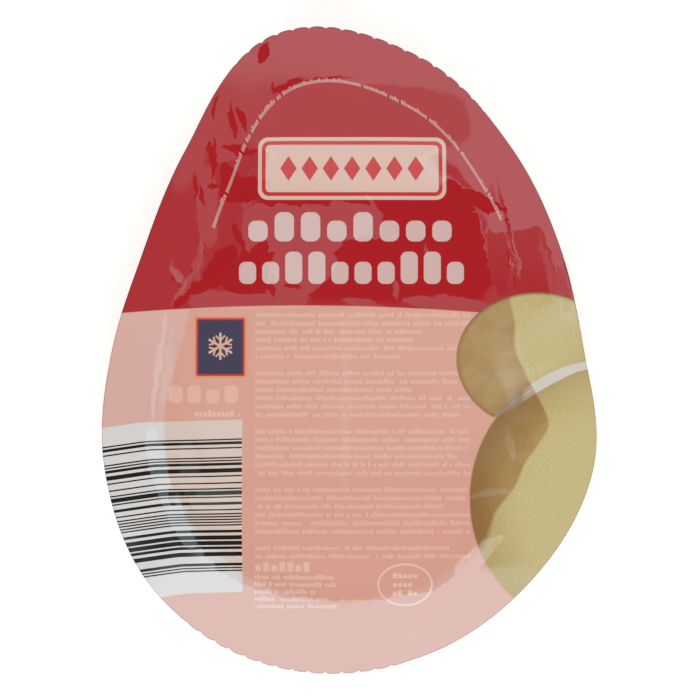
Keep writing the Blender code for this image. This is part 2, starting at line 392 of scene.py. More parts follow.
# Square with a star: half size and corner of its frame, of the line inside that and of its field
SQUARE_MIDDLE = (-30.4, 0.7, 0.0)
SQUARE_LAYERS = (
    ((6.3, 7.3, 0.0), 0.5, "keyline"), ((5.75, 6.85, 0.0), 0.4, "label_red"),
    ((5.3, 6.4, 0.0), 0.3, "navy"),
)
STAR_RISE = 0.2
STAR_TURNS = (30, 90, 150)
BARB_TURN = -45
STAR_CORNER = 0.1
STAR_ARM = (3.2, 0.28, 0.0)
STAR_BARB = (0.85, 0.2, 0.0)
BARB_PLACE = (1.9, 0.5, 0.0)

# Label: how far each of its layers lies inside its outline, and the radius of its corners
LABEL_MIDDLE = (0.7, 42.8, 0.0)
LABEL_HALF = (22.2, 7.4)
LABEL_LAYERS = ((0.0, 2.4), (0.9, 1.7), (1.8, 1.0))
LOZENGE_SPAN = 17.5
LOZENGE_PITCH = 5.0
LOZENGE_SLIMNESS = 1.5
LOZENGE_EDGE = (2.85, 3.0, 1.0, 0.0)

# Picture of a tied cheese, cut off by the edge. Its shades run over shares of each oval's reach
HEAD_MIDDLE = (44.5, -2.0, 0.0)
HEAD_HALF = (19.2, 15.6, 1.0)
HEAD_STRETCH = 0.06
TRUNK_MIDDLE = (58.0, -35.0, 0.0)
TRUNK_HALF = (29.6, 31.0, 1.0)
OVAL_EDGE = 0.008
HEAD_SHADES = ((0.25, 1.0), (0.93, 1.0, 0.0, 0.75))
TRUNK_SHADES = ((0.45, 1.0), (0.60, 1.0, 0.0, 0.95))
BARE_SHADE = 0.38
NECK_SHADE = (0.6, 4.5, 0.36, 0.0)
SPECKLE = (0.30, 0.72, 0.82, 1.12)
HEAD_LINE = (0.978, 0.99, 0.0, 0.50)
HEAD_LINE_Y = (2.0, 9.0)
STRING_START = (34.5, -15.6)
STRING_RUN = 22.5
STRING_RISE = 12.0
STRING_CURVE = 1.5
STRING_HALF = 1.45
STRING_END_HALF = 0.95
STRING_THINS = (46.0, 57.0)
STRING_TIP = (33.6, 39.5, 0.12, 1.0)
STRING_CUT = (34.2, 34.8)
STRING_EDGE = (-0.15, 0.15, 1.0, 0.0)
STRING_SIDES = (-0.6, 0.6)
STRING_SHADOW = (40.4, 42.2, 0.95, 0.0)
TWIST_LEAN = 0.6
TWIST_PITCH = 4.2
TWIST_STRENGTH = 0.07
STAIN_CLOUDS = (0.13, 2.0, 0.5)
STAIN = (0.46, 0.60, 0.0, 0.30)
# Painted shadow: a thin dark line along the cut edge, in the bars' dark ink, stronger over the red field
EDGE_SHADOW_BAND = (0.05, 0.42, 1.0, 0.0)
EDGE_SHADOW_DEPTH = 0.22
RED_EDGE_SHADOW_DEPTH = 0.28


def smooth(low, high, values):
    """0 up to low, 1 from high on, and an even S curve between them."""
    share = np.clip((values - low) / (high - low), 0.0, 1.0)
    return share * share * (3 - 2 * share)


def closed_curve(values, angles):
    """Values at equal turns from +X towards +Y, joined by a smooth closed curve."""
    count = len(values)
    stations = np.array(values)
    place = np.mod(angles, math.tau) / math.tau * count
    index = np.floor(place).astype(int)
    share = place - index
    before, start, end, after = (stations[(index + k) % count] for k in (-1, 0, 1, 2))
    pull_out = (end - before) / 2
    pull_in = (after - start) / 2
    rise = end - start
    cubic = pull_out + pull_in - 2 * rise
    square = 3 * rise - 2 * pull_out - pull_in
    return start + share * (pull_out + share * (square + share * cubic))


def outline_at(angles, inset=0.0):
    """Points of the outline, or of the curve that lies inset from it."""
    radius = closed_curve(EDGE_REACHES, angles) - inset
    return radius * np.cos(angles), radius * np.sin(angles)


FINE_ANGLES = np.linspace(0.0, math.tau, 17281)
FINE_X, FINE_Y = outline_at(FINE_ANGLES)
FINE_LENGTHS = np.concatenate([[0.0], np.cumsum(np.hypot(np.diff(FINE_X), np.diff(FINE_Y)))])
EDGE_LENGTH = FINE_LENGTHS[-1]
EDGE_MIDDLE = ((FINE_X.min() + FINE_X.max()) / 2, (FINE_Y.min() + FINE_Y.max()) / 2)


def edge_angles(turns):
    """Angles that lie at equal steps along the cut edge for equal steps of turns, from 0 to 1."""
    return np.interp(turns * EDGE_LENGTH, FINE_LENGTHS, FINE_ANGLES)


def scallop_strength(x, y):
    """1 in the middle of a scalloped stretch, 0 on the smooth sides."""
    middle = np.where(y > 0, NARROW_SCALLOPS[0], WIDE_SCALLOPS[0])
    half = np.where(y > 0, NARROW_SCALLOPS[1], WIDE_SCALLOPS[1])
    return 1 - smooth(*SCALLOP_FADE, np.abs(x - middle) / half)


def edge_points(turns, inner=0.0):
    """Points of the cut edge. The scallops die away inside it, at SCALLOP_REACH of the rim."""
    x, y = outline_at(edge_angles(turns))
    tooth = np.mod(turns * SCALLOPS, 1.0)
    held = np.clip(1 - inner / SCALLOP_REACH, 0.0, 1.0)
    arch = 2 * np.abs(np.sin(math.pi * tooth)) ** SCALLOP_BLUNTNESS - 1
    wave = SCALLOP_DEPTH * scallop_strength(x, y) * arch
    wider = SCALLOP_OPENING * np.sin(math.tau * tooth) / SCALLOPS
    return outline_at(edge_angles(turns - wider * held), -wave * held)


def hollow_points(turns):
    """Points of the line where the welded rim ends and the cheese begins."""
    x, y = outline_at(edge_angles(turns), RIM_WIDTH)
    return x + HOLLOW_SHIFT, y


def pack_points(turns, shares):
    """Points over the whole pack. Share 0 is the body's middle, 1 the hollow's line and 2 the cut edge."""
    hollow_x, hollow_y = hollow_points(turns)
    inner = np.clip(2 - shares, 0.0, 1.0)
    edge_x, edge_y = edge_points(turns, inner)
    inside = np.minimum(shares, 1.0)
    out = 1 - inner
    x = BODY_MIDDLE[0] + inside * (hollow_x - BODY_MIDDLE[0]) + out * (edge_x - hollow_x)
    y = BODY_MIDDLE[1] + inside * (hollow_y - BODY_MIDDLE[1]) + out * (edge_y - hollow_y)
    return x, y


def face_fall(y):
    """How far the face has fallen at y, counted from the first place of FACE_SLOPES."""
    fall = np.zeros_like(y)
    for (low, start), (high, end) in zip(FACE_SLOPES, FACE_SLOPES[1:]):
        length = np.clip(y, low, high) - low
        fall += length * (start + (end - start) * length / (high - low) / 2)
    return fall


def crease_relief(x, y):
    """Height of the sharp creases."""
    relief = np.zeros_like(x)
    for places, half_width, height in CREASES:
        nearest = np.full_like(x, 1e9)
        strength = np.zeros_like(x)
        pieces = len(places) - 1
        for number, (start, end) in enumerate(zip(places, places[1:])):
            run = (end[0] - start[0], end[1] - start[1])
            length = math.hypot(*run)
            along = ((x - start[0]) * run[0] + (y - start[1]) * run[1]) / length ** 2
            held = np.clip(along, 0.0, 1.0)
            away = np.hypot(x - start[0] - held * run[0], y - start[1] - held * run[1])
            closer = away < nearest
            nearest = np.where(closer, away, nearest)
            taper = np.sin(math.pi * (number + held) / pieces) ** CREASE_TAPER
            strength = np.where(closer, taper, strength)
        relief += height * strength * np.exp(-((nearest / half_width) ** 2))
    return relief


def slow_noise(x, y, z=0.0, across=1.0, along=1.0):
    """Even rolling noise between about -1 and 1, with hills of the given sizes along X and Y."""
    points = np.broadcast_arrays(x / across, y / along, z)
    return np.array([noise.noise(Vector(point)) for point in zip(*(p.tolist() for p in points))])


def fold_relief(x, y, turns, shares):
    """Height of the film's soft folds: flats between blunt ridges, and gathers at the cheese's side."""
    folded = smooth(*LEFT_SIDE, x) * (smooth(*NECK_START, y) * smooth(*NECK_END, y))
    lean_x = x * FOLD_LEAN[0] + y * FOLD_LEAN[1]
    lean_y = y * FOLD_LEAN[0] - x * FOLD_LEAN[1]
    folds = np.abs(slow_noise(lean_x, lean_y, FOLD_LAYERS[0], *FOLD_SIZE))
    broad = slow_noise(x, y, FOLD_LAYERS[1], BROAD_SIZE, BROAD_SIZE)
    fine = slow_noise(x, y, FOLD_LAYERS[2], FINE_SIZE, FINE_SIZE)
    strength = PLAIN_FOLDS + (1 - PLAIN_FOLDS) * folded
    angles = edge_angles(turns)
    ring = EDGE_LENGTH / math.tau / GATHER_SIZE
    gathers = slow_noise(ring * np.cos(angles), ring * np.sin(angles), GATHER_LENGTH * shares)
    at_side = smooth(*GATHER_START, shares) * smooth(*GATHER_END, shares)
    relief = FOLD_HEIGHT * strength * folds + BROAD_HEIGHT * broad + FINE_HEIGHT * fine
    relief *= RIM_RELIEF + (1 - RIM_RELIEF) * smooth(*RIM_CALM, shares)
    return relief + GATHER_HEIGHT * gathers * at_side


def face_height(x, y, turns, shares, crease_scale):
    """Height of the printed film's top: the face over the cheese, and the rim round it."""
    out = np.clip(shares - 1, 0.0, 1.0)
    hollow_x, hollow_y = hollow_points(turns)
    reach = np.hypot(hollow_x - BODY_MIDDLE[0], hollow_y - BODY_MIDDLE[1])
    inward = (1 - shares) * np.where(shares > 1, RIM_WIDTH, reach)
    crown = PEAK_RISE + face_fall(np.array([PEAK_Y])) - face_fall(y)
    across = CROSS_CROWN * ((x - BODY_MIDDLE[0]) / CROSS_REACH) ** 2
    face = (crown - across) * smooth(-SHOULDER_OUTSIDE, SHOULDER_WIDTH, inward)
    angles = edge_angles(turns)
    rim = closed_curve(EDGE_LIFTS, angles) * out ** EDGE_LIFT_CURVE
    rim += EDGE_RIPPLE * out * np.sin(EDGE_RIPPLES * angles + 2 * np.sin(3 * angles))
    relief = crease_relief(x * 1000, y * 1000) + fold_relief(x, y, turns, shares)
    return RIM_HEIGHT + face + rim + 0.001 * crease_scale * relief


def under_face(turns, shares, face, gap):
    """Points that lie a gap under the printed film."""
    x, y = pack_points(turns, shares)
    return x, y, face_height(x, y, turns, shares, face.crease_scale) - face.thickness - gap


def belly_point(reach, turns, quarter):
    """Points of the cheese's underside: quarter 0 is at the rim, and 1 at the flat spot's middle."""
    turn = np.clip(quarter, 0.0, 1.0) * math.pi / 2
    share = FLAT_SHARE + (1 - FLAT_SHARE) * np.maximum(0.0, np.cos(turn)) ** (2 / BELLY_ROUNDNESS)
    sink = np.sin(turn) ** (2 / BELLY_ROUNDNESS)
    x, y = pack_points(turns, share * reach)
    neck = np.exp(-(((y - NECK_Y) / NECK_HALF_LENGTH) ** 2))
    x = x - NECK_PINCH * neck * sink * x
    head = smooth(BODY_END_Y, HEAD_START_Y, y)
    depth = BODY_DEPTH + head * (HEAD_DEPTH - BODY_DEPTH - NECK_GROOVE * neck)
    return x, y, sink * depth


def to_middle(x, y, share):
    """Draws points towards the body's middle."""
    return x + share * (BODY_MIDDLE[0] - x), y + share * (BODY_MIDDLE[1] - y)


# Modelling helpers


def deselect_all():
    if bpy.context.object and bpy.context.object.mode != "OBJECT":
        bpy.ops.object.mode_set(mode="OBJECT")
    bpy.ops.object.select_all(action="DESELECT")


def select_only(piece):
    deselect_all()
    piece.select_set(True)
    bpy.context.view_layer.objects.active = piece


def edit_all(piece, step, **settings):
    """Runs an edit-mode operator on a whole mesh."""
    select_only(piece)
    bpy.ops.object.mode_set(mode="EDIT")
    bpy.ops.mesh.select_all(action="SELECT")
    step(**settings)
    bpy.ops.object.mode_set(mode="OBJECT")


def add_disc(name, points, rings):
    """A flat round sheet of even rings, with radius 1, bridged between circles and closed in its middle."""
    deselect_all()
    bpy.ops.mesh.primitive_circle_add(vertices=points, radius=1.0, location=(0, 0, 0))
    disc = bpy.context.object
    disc.name = disc.data.name = name
    bpy.ops.object.mode_set(mode="EDIT")
    bpy.ops.mesh.primitive_circle_add(vertices=points, radius=1.0 / rings, location=(0, 0, 0))
    bpy.ops.mesh.select_all(action="SELECT")
    bpy.ops.mesh.bridge_edge_loops(number_cuts=rings - 2, interpolation="LINEAR")
    bpy.ops.mesh.select_mode(type="VERT")
    bpy.ops.mesh.select_all(action="DESELECT")
    bpy.ops.object.mode_set(mode="OBJECT")
    places = read_places(disc)
    inner = np.hypot(places[:, 0], places[:, 1]) < 1.5 / rings
    disc.data.vertices.foreach_set("select", inner)
    bpy.ops.object.mode_set(mode="EDIT")
    bpy.ops.mesh.edge_face_add()
    bpy.ops.mesh.poke()
    edit_all(disc, bpy.ops.mesh.normals_make_consistent, inside=False)
    return disc


def read_places(piece):
    """Places of a mesh's vertices, as rows of X, Y and Z."""
    places = np.empty(len(piece.data.vertices) * 3)
    piece.data.vertices.foreach_get("co", places)
    return places.reshape(-1, 3)


def read_turns(places):
    """Turn of each place from +X towards +Y, from 0 to 1."""
    return np.mod(np.arctan2(places[:, 1], places[:, 0]) / math.tau, 1.0)


def lay_places(piece, x, y, z):
    """Moves the vertices, with the middle of the pack's outline put over the origin."""
    places = np.column_stack([x - EDGE_MIDDLE[0], y - EDGE_MIDDLE[1], z]).ravel()
    piece.data.vertices.foreach_set("co", places)
    piece.data.update()


def face_outwards(piece, up=True):
    """Turns all faces over if the sheet's top looks down."""
    total = sum(polygon.normal.z * polygon.area for polygon in piece.data.polygons)
    if (total > 0) != up:
        edit_all(piece, bpy.ops.mesh.flip_normals)


def shade(piece, sharp_degrees):
    """Smooth shading, with edges past an angle kept sharp."""
    select_only(piece)
    bpy.ops.object.shade_smooth_by_angle(angle=math.radians(sharp_degrees))


def add_wall(piece, thickness, inner_material=0):
    """Gives a sheet its thickness below its top, and applies it."""
    select_only(piece)
    wall = piece.modifiers.new("wall", "SOLIDIFY")
    wall.thickness = thickness
    wall.offset = -1
    wall.use_even_offset = True
    wall.material_offset = inner_material
    bpy.ops.object.modifier_apply(modifier=wall.name)


# Node helpers


def arithmetic(operation, turned=False):
    """A method that adds a math node for a field and a second value."""
    def add_node(first, second):
        pair = (second, first) if turned else (first, second)
        return first.board.calc(operation, *pair)
    return add_node


class Field:
    """One output of a node. Arithmetic on it adds math nodes to the same tree."""

    def __init__(self, board, socket):
        self.board = board
        self.socket = socket

    __add__ = arithmetic("ADD")
    __radd__ = arithmetic("ADD", turned=True)
    __sub__ = arithmetic("SUBTRACT")
    __rsub__ = arithmetic("SUBTRACT", turned=True)
    __mul__ = arithmetic("MULTIPLY")
    __rmul__ = arithmetic("MULTIPLY", turned=True)
    __truediv__ = arithmetic("DIVIDE")
    __rtruediv__ = arithmetic("DIVIDE", turned=True)
    __mod__ = arithmetic("MODULO")
    __pow__ = arithmetic("POWER")
    __lt__ = arithmetic("LESS_THAN")
    __gt__ = arithmetic("GREATER_THAN")
    least = arithmetic("MINIMUM")
    most = arithmetic("MAXIMUM")

    def __abs__(self):
        return self.board.calc("ABSOLUTE", self)

    def other(self, name):
        """Another output of the same node."""
        return Field(self.board, self.socket.node.outputs[name])


class Board:
    """A node tree with short calls. Each call adds a node and returns one of its outputs as a field."""

    def __init__(self, tree):
        self.tree = tree
        self.count = 0

    def add(self, kind, inputs, output=0, **settings):
        node = self.tree.nodes.new(kind)
        self.count += 1
        node.location = (220 * (self.count % 24), -260 * (self.count // 24))
        for name, value in settings.items():
            setattr(node, name, value)
        self.feed(node, inputs)
        return Field(self, node.outputs[output])

    def feed(self, node, inputs):
        """Links fields to a node's inputs, and sets plain values on them."""
        for name, value in inputs.items():
            if isinstance(value, Field):
                self.tree.links.new(value.socket, node.inputs[name])
            else:
                node.inputs[name].default_value = value

    def calc(self, operation, *values):
        return self.add("ShaderNodeMath", dict(enumerate(values)), operation=operation)

    def vector(self, operation, *values, output=0):
        return self.add("ShaderNodeVectorMath", dict(enumerate(values)), output, operation=operation)

    def step(self, value, low, high, bottom=0.0, top=1.0):
        """bottom up to low, top from high on, and a smooth curve between them."""
        inputs = {"Value": value, "From Min": low, "From Max": high, "To Min": bottom, "To Max": top}
        return self.add("ShaderNodeMapRange", inputs, interpolation_type="SMOOTHSTEP", clamp=False)

    def mix(self, share, below, above, blend="MIX"):
        inputs = {0: share, 6: below, 7: above}
        return self.add("ShaderNodeMix", inputs, 2, data_type="RGBA", blend_type=blend, clamp_factor=True)

    def join(self, x, y, z=0.0):
        return self.add("ShaderNodeCombineXYZ", {"X": x, "Y": y, "Z": z})

    def split(self, vector):
        x = self.add("ShaderNodeSeparateXYZ", {"Vector": vector})
        return x, x.other("Y"), x.other("Z")

    def turned(self, vector, degrees):
        inputs = {"Vector": vector, "Angle": math.radians(degrees)}
        return self.add("ShaderNodeVectorRotate", inputs, rotation_type="Z_AXIS")

    def random(self, x, y, z):
        return self.add("ShaderNodeTexWhiteNoise", {"Vector": self.join(x, y, z)}, noise_dimensions="3D")

    def clouds(self, vector, scale, detail=2.0, roughness=0.5, distortion=0.0):
        inputs = {
            "Vector": vector, "Scale": scale, "Detail": detail, "Roughness": roughness,
            "Distortion": distortion,
        }
        return self.add("ShaderNodeTexNoise", inputs)

    def bump(self, height, strength, distance, **others):
        inputs = {"Height": height, "Strength": strength, "Distance": distance, **others}
        return self.add("ShaderNodeBump", inputs)

    def group(self, tree, *values):
        """Places a node group. Values go to its inputs in their order, and its first output comes back."""
        return self.add("ShaderNodeGroup", dict(enumerate(values)), node_tree=tree)


def new_group(name, vectors, values=()):
    """A shader node group with named inputs, vectors first. Returns its board and its inputs."""
    board = Board(bpy.data.node_groups.new(name, "ShaderNodeTree"))
    for labels, kind in ((vectors, "NodeSocketVector"), (values, "NodeSocketFloat")):
        for label in labels:
            board.tree.interface.new_socket(name=label, in_out="INPUT", socket_type=kind)
    start = board.tree.nodes.new("NodeGroupInput")
    start.location = (-300, 0)
    return board, [Field(board, start.outputs[label]) for label in (*vectors, *values)]


def finish_group(board, results):
    """Puts out the named results, and returns the group."""
    kinds = {"VALUE": "NodeSocketFloat", "VECTOR": "NodeSocketVector", "RGBA": "NodeSocketColor"}
    for name, field in results.items():
        board.tree.interface.new_socket(name=name, in_out="OUTPUT", socket_type=kinds[field.socket.type])
    end = board.tree.nodes.new("NodeGroupOutput")
    end.location = (220 * 25, 0)
    board.feed(end, results)
    return board.tree


# Shapes that the print is built from. All of their sizes are in millimetres


def rounded_box_group():
    """1 inside a rounded box, 0 outside it."""
    board, (point, middle, half, corner, edge) = new_group(
        "Rounded box", ("Point", "Middle", "Half size"), ("Corner", "Edge"),
    )
    away = board.vector("ABSOLUTE", board.vector("SUBTRACT", point, middle))
    beyond = board.vector("ADD", board.vector("SUBTRACT", away, half), board.join(corner, corner))
    outside = board.vector("LENGTH", board.vector("MAXIMUM", beyond, (0, 0, 0)), output="Value")
    x, y, _ = board.split(beyond)
    distance = outside + x.most(y).least(0.0) - corner
    return finish_group(board, {"Mask": board.step(distance, edge * -1.0, edge, 1.0, 0.0)})


def oval_group():
    """1 inside an oval, 0 outside it, and the reach as a share of its half size, as its edge is."""
    board, (point, middle, half, edge) = new_group("Oval", ("Point", "Middle", "Half size"), ("Edge",))
    away = board.vector("SUBTRACT", point, middle)
    reach = board.vector("LENGTH", board.vector("DIVIDE", away, half), output="Value")
    mask = board.step(reach, 1.0 - edge, 1.0 + edge, 1.0, 0.0)
    return finish_group(board, {"Mask": mask, "Reach": reach})


def small_print_group():
    """Rows of little marks that stand for small print: no letters, only their rhythm."""
    labels = (
        "Left", "Top", "Width", "Rows", "Row pitch", "Row height", "Mark width", "Rows in a block", "Seed",
    )
    board, inputs = new_group("Small print", ("Point",), labels)
    point, left, top, width, rows, pitch, height, mark_width, block_rows, seed = inputs
    x, y, _ = board.split(point)
    along = x - left
    down = (top - y) / pitch
    row = board.calc("FLOOR", down)
    in_row = board.calc("FRACT", down) * pitch
    cell_place = along / mark_width
    cell = board.calc("FLOOR", cell_place)
    from_side = board.calc("PINGPONG", board.calc("FRACT", cell_place), 0.5)
    lowered = board.step(board.random(cell, row, seed + TALL_SEED), *LOWERED_MARKS, height * LOWERED_TO, 0.0)
    ragged = board.step(board.random(0.5, row, seed), *RAGGED_ROWS)
    mask = board.random(cell, row, seed) < MARK_SHARE
    for factor in (
        board.step(in_row - lowered, *ROW_EDGE), board.step(height - in_row, *ROW_EDGE),
        board.step(from_side, *MARK_SIDES), along < width * ragged, along > 0.0, down > 0.0, row < rows,
        (row + 0.5) % block_rows < block_rows - 1.0,
    ):
        mask = mask * factor
    return finish_group(board, {"Mask": mask})


def pill_row_group(box):
    """A row of upright rounded marks, of two heights: a plain stand-in for large lettering."""
    labels = ("Left", "Foot", "Count", "Pitch", "Low", "Tall", "Seed")
    board, (point, left, foot, count, pitch, low, tall, seed) = new_group("Pill row", ("Point",), labels)
    x, y, _ = board.split(point)
    place = (x - left) / pitch
    across = (board.calc("FRACT", place) - 0.5) * pitch
    is_tall = board.random(board.calc("FLOOR", place), seed, 0.5) > PILL_TALL_START
    half_height = (low + is_tall * (tall - low)) * 0.5
    half_width = pitch * PILL_HALF_WIDTH
    from_middle = board.join(across, y - foot - half_height)
    half = board.join(half_width, half_height)
    mask = board.group(box, from_middle, (0, 0, 0), half, half_width * PILL_CORNER, SHARP)
    return finish_group(board, {"Mask": mask * (place > 0.0) * (place < count)})


def film_skin_group():
    """Faint unevenness of a drawn film: a height for bump, and a small change of roughness."""
    board, (point, size) = new_group("Film skin", ("Point",), ("Size",))
    scale = 1.0 / size
    rolling = board.clouds(point, scale, 1.0, 0.4)
    finer = board.clouds(point, scale * FINER_SKIN, 2.0, 0.5)
    smear = board.clouds(point, scale * SMEAR_SKIN, 3.0, 0.6)
    height = rolling + finer * FINER_SKIN_HEIGHT
    change = (smear - 0.5) * SMEAR_STRENGTH
    return finish_group(board, {"Height": height, "Roughness change": change})


def facet_group():
    """Lays one flat facet over the film: inside its outline the film faces another way.

    Along and Across run from the facet's middle, and are as long as a share of 1 there is to a millimetre.
    """
    board, (normal, point, along, across, facing, along_start, across_start, form, edge) = new_group(
        "Facet", ("Normal", "Point", "Along", "Across", "Facing"),
        ("Along start", "Across start", "Form", "Edge"),
    )
    one_way, other_way = (
        abs(board.vector("DOT_PRODUCT", point, way, output="Value") - start) ** form
        for way, start in ((along, along_start), (across, across_start))
    )
    reach = (one_way + other_way) ** (1.0 / form)
    mask = board.step(reach, 1.0 - edge, 1.0 + edge, 1.0, 0.0)
    faced = board.add("ShaderNodeMix", {0: mask, 4: normal, 5: facing}, 1, data_type="VECTOR")
    return finish_group(board, {"Normal": faced})


def facet_facing(y, shown):
    """The way a facet at y faces, so that it shows the camera a place on the softboxes' level."""
    camera_rise = VIEW_WIDTH * LENS / SENSOR
    softbox_rise = SOFTBOX_HEIGHT - RIM_HEIGHT
    slope = (SHOWN_PLACES[shown] - y * (1 + softbox_rise / camera_rise)) / (2 * softbox_rise)
    return Vector((0.0, slope, 1.0)).normalized()


def film_facets_group():
    """All the facets of the printed film, laid over its own normal."""
    board, (normal, point) = new_group("Film facets", ("Normal", "Point"))
    facet = facet_group()
    x, y, _ = board.split(point)
    flat = moved = board.join(x, y)
    for clouds, reach in WANDERS:
        wander = board.vector("SUBTRACT", board.clouds(flat, *clouds).other("Color"), (0.5, 0.5, 0.5))
        shift = board.add("ShaderNodeVectorMath", {0: wander, "Scale": reach}, operation="SCALE")
        moved = board.vector("ADD", moved, shift)
    x, y, _ = board.split(moved)
    moved = board.join(x, y)
    for shown, middle, half_length, half_width, turn, form, edge in FACETS:
        cosine, sine = math.cos(math.radians(turn)), math.sin(math.radians(turn))
        along = Vector((cosine, sine, 0.0)) / half_length
        across = Vector((-sine, cosine, 0.0)) / half_width
        centre = Vector((*middle, 0.0))
        softness = min(SOFTEST_EDGE, edge / min(half_length, half_width))
        normal = board.group(
            facet, normal, moved, along, across, facet_facing(middle[1] / 1000, shown),
            along.dot(centre), across.dot(centre), form, softness,
        )
    return finish_group(board, {"Normal": board.vector("NORMALIZE", normal)})


class PackPrint:
    """The whole print, laid down layer by layer in one node group.

    The group takes a point in millimetres and the place on the rim, and gives a colour.
    """

    def __init__(self, inks):
        self.inks = inks
        self.box = rounded_box_group()
        self.oval = oval_group()
        self.rows = small_print_group()
        self.pills = pill_row_group(self.box)
        self.board, (point, rim_place) = new_group("Pack print", ("Point", "Rim place"))
        self.x, self.y, _ = self.board.split(point)
        self.flat = self.board.join(self.x, self.y)
        self.along, self.inset, _ = self.board.split(rim_place)

    def plain_box(self, middle, half, corner, edge=SHARP, point=None):
        return self.board.group(self.box, point or self.flat, middle, half, corner, edge)

    def build(self):
        board, inks = self.board, self.inks
        drift = board.clouds(self.flat, *DRIFT)
        contact = self.contact_mask()
        pink = board.mix(drift, inks["pink"], inks["pink_deep"])
        colour = board.mix(self.pale_marks(), pink, inks["pale_ink"])
        colour = self.add_bars(colour)
        colour = self.add_star_square(colour)
        bend = (self.x - RED_EDGE_MIDDLE) * (self.x - RED_EDGE_MIDDLE) * RED_EDGE_BEND
        red_mask = board.step(self.y - (RED_EDGE_Y - bend), *RED_EDGE_SOFTNESS)
        colour = board.mix(red_mask, colour, board.mix(drift, inks["red"], inks["red_deep"]))
        colour = self.add_label(colour)
        colour = self.add_names(colour)
        colour, picture = self.add_picture(colour, contact)
        colour = self.add_warmth(colour, contact, red_mask, picture)
        # Painted shadow along the cut edge: the outermost few tenths of a millimetre darkened towards the
        # bars' ink
        edge_shadow = board.step(self.inset, *EDGE_SHADOW_BAND) * (red_mask * RED_EDGE_SHADOW_DEPTH + EDGE_SHADOW_DEPTH)
        return finish_group(board, {"Colour": board.mix(edge_shadow, colour, inks["bar"])})

    def contact_mask(self):
        """Where the cheese lies against the film, with a softer border at the lower right."""
        board = self.board
        waves = (board.clouds(self.flat, *CONTACT_WAVES) - 0.5) * CONTACT_WAVE_DEPTH
        reach_in = self.inset + waves + board.step(self.y, *CONTACT_LOW_BEND)
        at_right = board.step(self.x, *CONTACT_RIGHT)
        for middle_y, bend in CONTACT_BENDS:
            reach_in = reach_in + board.step(abs(self.y - middle_y), *bend) * at_right
        softer = board.step(self.x, *CONTACT_SOFT_X) * board.step(self.y, *CONTACT_SOFT_Y)
        return board.step(reach_in, CONTACT_BORDER[0] - softer, CONTACT_BORDER[1] + softer)

    def pale_marks(self):
        """Small print, the row of rounded marks beside it and the ring, all in the pale ink."""
        board = self.board
        pale = board.group(self.pills, self.flat, *WEIGHT_ROW) * WEIGHT_STRENGTH
        for block, strength in PRINT_BLOCKS:
            pale = pale.most(board.group(self.rows, self.flat, *block) * strength)
        inner_half = (RING_HALF[0] - RING_LINE, RING_HALF[1] - RING_LINE, 1.0)
        outer, inner = (
            board.group(self.oval, self.flat, RING_MIDDLE, half, RING_EDGE)
            for half in (RING_HALF, inner_half)
        )
        return pale.most((outer - inner) * RING_STRENGTH)

    def add_bars(self, colour):
        """White panel with its bars, of random widths between the usual guard bars."""
        board = self.board
        kink_x = (KINK_START[1] - self.y) * KINK_SLOPE + KINK_START[0]
        past = (kink_x - self.x).most(0.0)
        pull = past * past / (past + KINK_EASE) * KINK_PULL
        pulled_y = self.y + (PANEL_RIGHT - self.x) * BARS_LEAN + pull
        middle = ((PANEL_LEFT + PANEL_RIGHT) / 2, (PANEL_TOP + PANEL_BOTTOM) / 2, 0.0)
        half = ((PANEL_RIGHT - PANEL_LEFT) / 2, (PANEL_TOP - PANEL_BOTTOM) / 2, 0.0)
        pulled = board.join(self.x, pulled_y)
        panel = self.plain_box(middle, half, PANEL_CORNER, PANEL_EDGE, pulled)
        colour = board.mix(panel, colour, self.inks["white"])
        module = (BARS_TOP - pulled_y) / MODULE
        number = board.calc("FLOOR", module)
        inked = (board.random(number, 0.0, BARS_SEED) < INKED_SHARE) - (number % PAUSE_PITCH < 0.5)
        from_end = number.least(MODULES - 1.0 - number)
        guard_gap = abs(from_end - 1.0) < 0.5
        guard_bar = (from_end < 2.5) - guard_gap
        bars = (inked - guard_gap).most(guard_bar) * (module > 0.0) * (module < float(MODULES))
        return board.mix(bars * (self.x < BARS_RIGHT), colour, self.inks["bar"])

    def add_star_square(self, colour):
        """Small framed square with a six-armed star for cold storing."""
        board = self.board
        for half, corner, ink in SQUARE_LAYERS:
            colour = board.mix(self.plain_box(SQUARE_MIDDLE, half, corner), colour, self.inks[ink])
        middle = (SQUARE_MIDDLE[0], SQUARE_MIDDLE[1] + STAR_RISE, 0.0)
        from_middle = board.vector("SUBTRACT", self.flat, middle)
        lines = []
        for turn in STAR_TURNS:
            turned = board.turned(from_middle, turn)
            barb = board.vector("SUBTRACT", board.vector("ABSOLUTE", turned), BARB_PLACE)
            for half, point in ((STAR_ARM, turned), (STAR_BARB, board.turned(barb, BARB_TURN))):
                lines.append(self.plain_box((0, 0, 0), half, STAR_CORNER, point=point))
        return board.mix(reduce(Field.most, lines), colour, self.inks["cream"])

    def add_label(self, colour):
        """Plain label: a cream frame, a red gap, a cream bed and a row of red lozenges."""
        board = self.board
        outer, gap, bed = (
            self.plain_box(LABEL_MIDDLE, (LABEL_HALF[0] - inset, LABEL_HALF[1] - inset, 0.0), corner)
            for inset, corner in LABEL_LAYERS
        )
        x, y, _ = board.split(board.vector("SUBTRACT", self.flat, LABEL_MIDDLE))
        place = (x + LOZENGE_SPAN) / LOZENGE_PITCH
        across = (board.calc("FRACT", place) - 0.5) * LOZENGE_PITCH
        lozenge = board.step(abs(across) * LOZENGE_SLIMNESS + abs(y), *LOZENGE_EDGE)
        lozenge = lozenge * (abs(x) < LOZENGE_SPAN)
        label = outer - gap + bed - lozenge * bed
        colour = board.mix(outer, colour, self.inks["label_red"])
        return board.mix(label, colour, self.inks["cream"])

